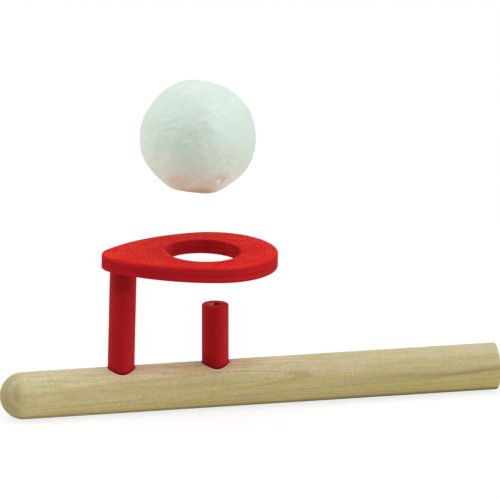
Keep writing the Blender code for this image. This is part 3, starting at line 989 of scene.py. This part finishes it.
# red paint worn off the hoop onto the foam, together with a painted red reflection of the hoop
red_rubs_and_reflection = [near(x, y, start, end) * smeared * share for x, y, start, end, share in RUB_AND_REFLECTION_SPOTS]
white = glazed(
    screen_colour(224, 239, 227),
    (bead_luck, 229, 243, 231),
    # broad tints of painted light and shade: lighter on the top and just right of the middle, darker on the
    # upper left, upper right, middle and right side, and warmer on the left side and the lower half
    (near(0.0, 0.85, 0.45, 0.85) * 0.8, 231, 244, 235),
    (near(-0.75, 0.5, 0.7) * 0.5, 210, 228, 213),
    (near(0.6, 0.7, 0.8) * 0.4, 218, 233, 222),
    (near(0.40, 0.02, 0.89) * 0.35, 234, 252, 240),
    (near(-0.17, -0.1, 0.84) * 0.35, 210, 226, 208),
    (near(0.0, -1.0, 0.0, 0.8) * 0.9, 242, 238, 219),
    (near(0.95, -0.1, 0.6) * 0.5, 214, 230, 214),
    (near(-0.95, -0.1, 0.6) * 0.4, 228, 238, 218),
    (fade(cloud, 0.42, 0.75) * 0.5, 219, 234, 218),
    (seam * seam_shown * 0.12, 206, 222, 208),
    (crease * crease_highlight_share, 246, 255, 248),
    *((red_rub_and_reflection, 232, 182, 160) for red_rub_and_reflection in red_rubs_and_reflection),
    # painted shade in the chip's dent, and on the next line a painted highlight on its lip
    (near(0.43, -0.71, 0.985, 0.998) * 0.4, 206, 180, 154),
    (near(0.345, -0.775, 0.9976, 0.9994) * 0.75, 254, 242, 228),
    # painted shade with a painted red reflection at the very bottom of the ball
    (near(0.0, -0.98, 0.93) * 0.6, 182, 140, 114),
)
close_finish(where, white, 0.72 + 0.12 * crumb, crumb - seam * 0.4, 0.015 * MM, {"Specular IOR Level": 0.1})
print("foam beads", round(BEAD_SIZE / MM, 1), "mm across")

# %% [markdown]
# ## Foam pressing
# A foam ball is never quite round: it has flat spots, lumps, facets, crumpled patches and a chip. A cube with
# many faces, blown up to a sphere, has no poles. The tree moves each point in or out along its direction:
# lumps, facets and creases first, then the flat spots, where it may not pass a plane, then the chip. Where
# the ball sits in the hoop it may not stand out past a set reach.

# %% Foam pressing
CUBE_STEPS = 120
LUMP_SIZE = 9 * MM
FACET_MIDDLE, CREASE_MIDDLE = 0.3, 0.2
FLAT_SPOTS = ((263, 1.0), (76, 0.67), (305, 0.35), (224, 0.32), (144, 0.2), (52, 0.2))
FLAT_SOFTNESS, SEAT_SOFTNESS = 1.5 * MM, 0.2 * MM
CHIP_SPOTS = ((0.42, -0.745, 1.0), (0.51, -0.725, 0.7), (0.355, -0.765, -0.4))
SEAT_BAND = (0.54, 0.62, 0.88, 0.93)


def outline_way(degrees):
    """Direction to a point of the ball's outline in the photograph, by its angle there."""
    t = math.radians(degrees)
    return on_photo_side(math.cos(t), math.sin(t))


def bulge(place, size, middle, radius):
    """Height of cells that are each flattened to a facet: low at a cell's point and high at its edge."""
    off = cells(place, size)
    return (off * off - middle) * size * size / (2 * radius)


pressing, given = open_tree("foam_pressing", dict.fromkeys((
    "Radius", "Lump Height", "Facet Size", "Facet Flatness", "Crease Size", "Crease Flatness", "Flat Depth",
    "Chip Width", "Chip Depth", "Seat Reach", "Seed"), "Float") | {"Material": "Material"})
radius = given["Radius"]
cube = radius.node("GeometryNodeMeshCube", None, {
    "Size": (2, 2, 2), **{"Vertices " + axis: CUBE_STEPS + 1 for axis in "XYZ"}})
corner = cube.node("GeometryNodeInputPosition")
evened = cube.vector("TANGENT", cube.vector("SCALE", corner, Scale=math.pi / 4))
direction, on_ball = from_centre(evened)
seed_shift = cube.node("ShaderNodeCombineXYZ", None, {axis: given["Seed"] for axis in "XYZ"})
seeded = cube.vector("ADD", on_ball, seed_shift)
lump = blots(seeded, LUMP_SIZE) - 0.5
facet = bulge(seeded, given["Facet Size"], FACET_MIDDLE, radius)
crumpled, bent = crumple(direction, on_ball)
crease = bulge(bent, given["Crease Size"], CREASE_MIDDLE, radius)
reach = radius + lump * given["Lump Height"] + facet * given["Facet Flatness"]
reach = reach + crease * crumpled * given["Crease Flatness"]
for degrees, share in FLAT_SPOTS:
    facing = cube.math("MAXIMUM", along(direction, outline_way(degrees)), 0.1)
    plane = (radius - given["Flat Depth"] * share) / facing
    reach = cube.math("SMOOTH_MIN", reach, plane, FLAT_SOFTNESS)
for spot_x, spot_y, share in CHIP_SPOTS:
    off = (1 - along(direction, on_photo_side(spot_x, spot_y))) * 2
    spread = radius * cube.math("SQRT", off)
    chip = fade(spread, given["Chip Width"], given["Chip Width"] * 0.3)
    reach = reach - chip * given["Chip Depth"] * share
down = along(direction, -Vector(frame["joints"][0]["axis"]))
seated = fade(down, SEAT_BAND[0], SEAT_BAND[1]) * fade(down, SEAT_BAND[3], SEAT_BAND[2])
reach = cube.math("SMOOTH_MIN", reach, given["Seat Reach"] + (1 - seated) * MM, SEAT_SOFTNESS)
pressed = cube.vector("SCALE", direction, Scale=reach)
close_tree(cube.node("GeometryNodeSetPosition", None, {"Geometry": cube, "Position": pressed}),
           given["Material"])
print("pressing has", len(pressing.nodes), "nodes")

# %% [markdown]
# ## Foam ball
# The tree could press a whole box of balls that differ only in its named inputs. Here it presses one, a
# little larger than the CAD ball between its flat spots and a little smaller on them.

# %% Foam ball
ball_draft = draft_from("ball_draft", [(0, 0, 0)])
add_tree(ball_draft, pressing, {
    "Radius": ball_radius + 0.17 * MM, "Lump Height": 0.9 * MM,
    "Facet Size": 5.0 * MM, "Facet Flatness": 0.45,
    "Crease Size": CREASE_SIZE, "Crease Flatness": 1.8, "Flat Depth": 0.88 * MM,
    "Chip Width": 1.7 * MM, "Chip Depth": 0.55 * MM,
    "Seat Reach": ball_radius + 0.15 * MM, "Seed": 1.2656, "Material": foam})
foam_ball = keep_piece(ball_draft, "foam_ball", Matrix.Translation(ball_centre))

# %% [markdown]
# ## Riding on the frame
# The table pairs each skin with the CAD body that carries it, the CAD piece that it stands for and its finish
# slot. The last step ties each skin to its body and hides that CAD piece. The ball is a body of its own,
# because it rises and falls on the jet of air.

# %% Riding on the frame
SKINS = (
    (pipe_wood, "toy", "blow_pipe", "pale_wood"),
    (nozzle_dowel, "toy", "nozzle", "red_dowel_paint"),
    (post_dowel, "toy", "post", "red_dowel_paint"),
    (plate_teardrop, "toy", "hoop_plate", "red_plate_paint"),
    (foam_ball, "ball", "ball", "white_foam"),
)
for piece, body, node, slot in SKINS:
    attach(piece, body)
    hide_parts(node)
